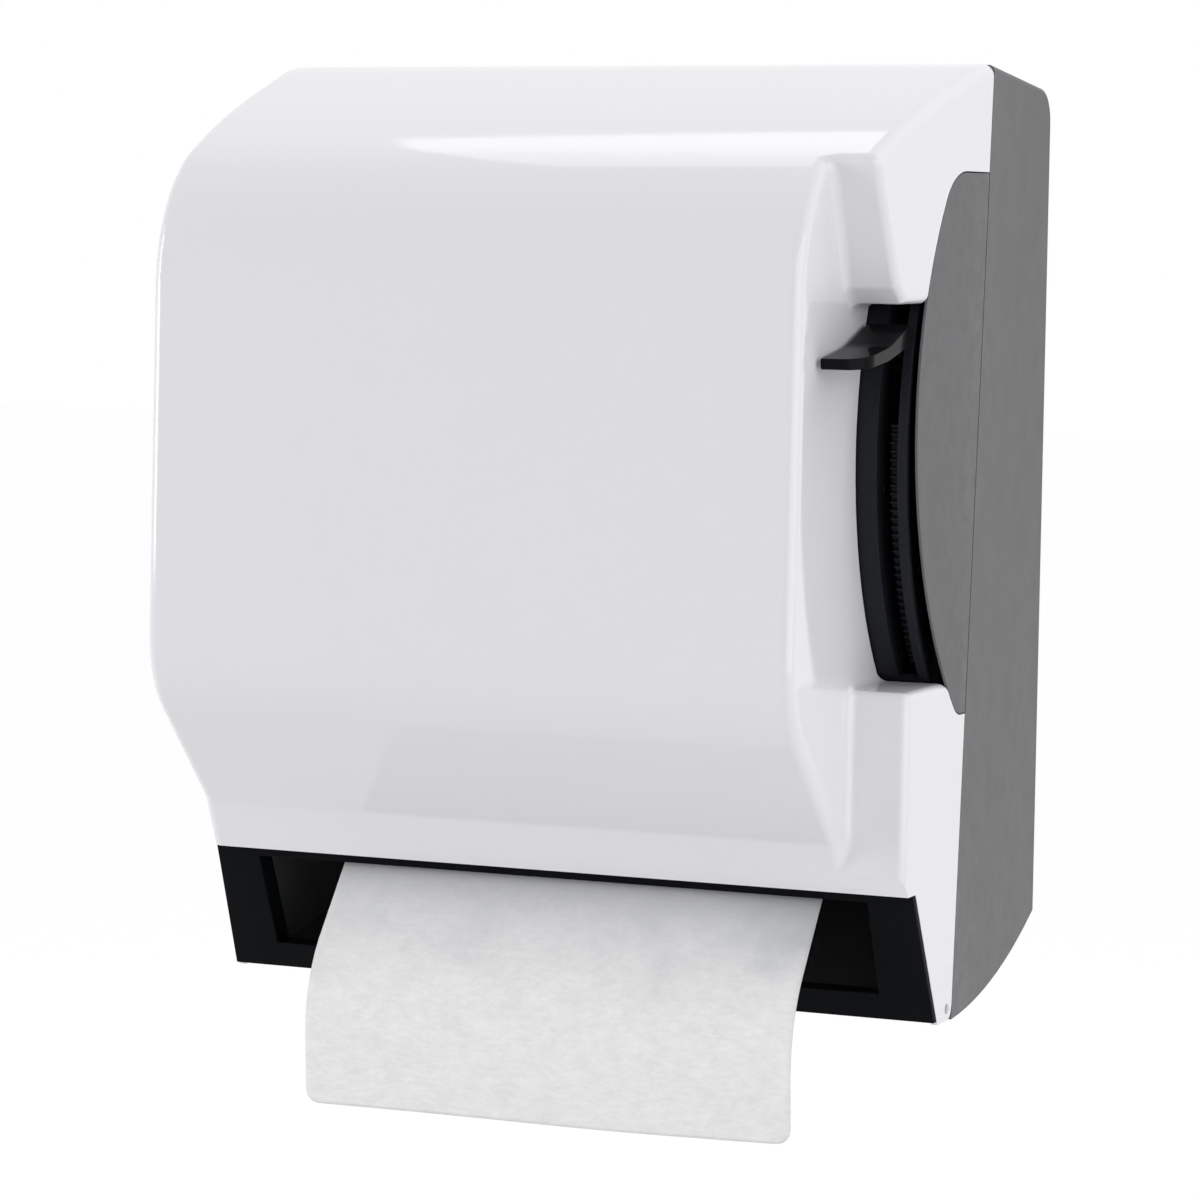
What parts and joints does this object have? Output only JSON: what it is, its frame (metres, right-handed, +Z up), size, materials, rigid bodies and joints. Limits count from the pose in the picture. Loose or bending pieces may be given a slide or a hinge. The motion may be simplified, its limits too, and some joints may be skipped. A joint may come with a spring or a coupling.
{
  "type": "lever paper towel dispenser",
  "caption": "Wall-mounted lever dispenser for paper towel rolls: curved cover on a slanted casing, side lever in an arc slot, geared feed rollers and a framed window with the towel hanging out.",
  "frame": {"origin": "centre of the pattern of wall screw holes, on the rear face of the casing", "axes": "+X right seen from the front, -Y forward from the wall, +Z up"},
  "size_m": [0.3, 0.238, 0.4065],
  "materials": {
    "white_shell": "gloss",
    "grey_shell": "fine matte texture",
    "black_plastic": "satin",
    "dark_paddle": "satin",
    "gear_plastic": "satin",
    "zinc_steel": "zinc plated",
    "screw_steel": "zinc plated",
    "blade_steel": "bright",
    "spring_steel": "bright",
    "bronze": "satin",
    "roller_plastic": "matte",
    "rubber": "matte",
    "towel": "soft",
    "core_board": "matte",
    "lock_metal": "bright"
  },
  "bodies": {
    "chassis": {"rear_casing": "grey_shell", "hinge_pins": "screw_steel", "right_side_plate": "zinc_steel", "left_side_plate": "zinc_steel", "plate_screws": "screw_steel", "nose_bar": "zinc_steel", "nose_screws": "screw_steel", "tear_bar": "blade_steel", "tear_bar_screws": "screw_steel", "paper_chute": "black_plastic", "lever_guide": "black_plastic", "guide_screws": "screw_steel", "stroke_rack": "black_plastic", "lever_pivot_pin": "screw_steel", "lever_return_spring": "spring_steel", "lever_stop": "rubber", "stop_pin": "screw_steel", "idler_axle": "screw_steel", "feed_bushes": "bronze", "pinch_bushes": "bronze", "pinch_springs": "spring_steel", "roll_hub_right": "roller_plastic", "hub_screws": "screw_steel", "release_bracket": "zinc_steel", "release_pin": "screw_steel", "release_spring": "spring_steel", "towel_sheet": "towel", "lock_barrel": "lock_metal", "lock_nut": "zinc_steel"},
    "cover": {"front_cover": "white_shell", "chin_frame": "black_plastic", "lock_keeper": "zinc_steel", "keeper_screws": "screw_steel"},
    "lever": {"lever_arm": "zinc_steel", "lever_paddle": "dark_paddle", "sector_gear": "gear_plastic", "sector_rivets": "screw_steel"},
    "idler": {"idler_gear": "gear_plastic"},
    "drive": {"roller_gear": "gear_plastic", "one_way_clutch": "screw_steel"},
    "feed": {"feed_shaft": "screw_steel", "feed_roller_core": "roller_plastic", "feed_rubber_rings": "rubber", "shaft_clips": "screw_steel"},
    "pinch": {"pinch_axle": "screw_steel", "pinch_wheels": "roller_plastic"},
    "roll": {"paper_roll": "towel", "roll_core": "core_board"},
    "release": {"release_arm": "zinc_steel", "roll_hub_left": "roller_plastic"},
    "lock": {"lock_plug": "lock_metal", "lock_cam": "lock_metal"}
  },
  "joints": [
    {"name": "cover_hinge", "type": "hinge", "parent": "chassis", "child": "cover", "pos_m": [0, -0.127, -0.179], "axis": [1, 0, 0], "range_deg": [0, 92], "deforming": ["towel_sheet"]},
    {"name": "lever_swing", "type": "hinge", "parent": "chassis", "child": "lever", "pos_m": [0, -0.04, 0.035], "axis": [1, 0, 0], "range_deg": [0, 46], "stiffness_Nm_per_rad": 0.6, "springref_deg": -45.84},
    {"name": "idler_spin", "type": "hinge", "parent": "chassis", "child": "idler", "pos_m": [0, -0.09923, -0.06357], "axis": [1, 0, 0], "range_deg": [-167, 0]},
    {"name": "roller_gear_spin", "type": "hinge", "parent": "chassis", "child": "drive", "pos_m": [0, -0.10477, -0.10066], "axis": [1, 0, 0], "range_deg": [0, 333]},
    {"name": "feed_spin", "type": "hinge", "parent": "chassis", "child": "feed", "pos_m": [0, -0.10477, -0.10066], "axis": [1, 0, 0], "range_deg": [0, 333]},
    {"name": "pinch_spin", "type": "hinge", "parent": "chassis", "child": "pinch", "pos_m": [0, -0.12306, -0.08361], "axis": [1, 0, 0], "range_deg": [-553, 0]},
    {"name": "roll_spin", "type": "hinge", "parent": "chassis", "child": "roll", "pos_m": [0, -0.125, 0.045], "axis": [1, 0, 0], "range_deg": [-52, 0]},
    {"name": "arm_release", "type": "hinge", "parent": "chassis", "child": "release", "pos_m": [-0.112, -0.02, 0.045], "axis": [0, 0, -1], "range_deg": [0, 7], "stiffness_Nm_per_rad": 2, "springref_deg": -5.73},
    {"name": "lock_turn", "type": "hinge", "parent": "chassis", "child": "lock", "pos_m": [0, -0.058, 0.174], "axis": [0, 0, -1], "range_deg": [0, 90]}
  ],
  "couplings": [
    {"joint": "idler_spin", "follows": "lever_swing", "ratio": -3.6},
    {"joint": "roller_gear_spin", "follows": "lever_swing", "ratio": 7.2},
    {"joint": "feed_spin", "follows": "lever_swing", "ratio": 7.2},
    {"joint": "pinch_spin", "follows": "lever_swing", "ratio": -12},
    {"joint": "roll_spin", "follows": "lever_swing", "ratio": -1.102}
  ]
}
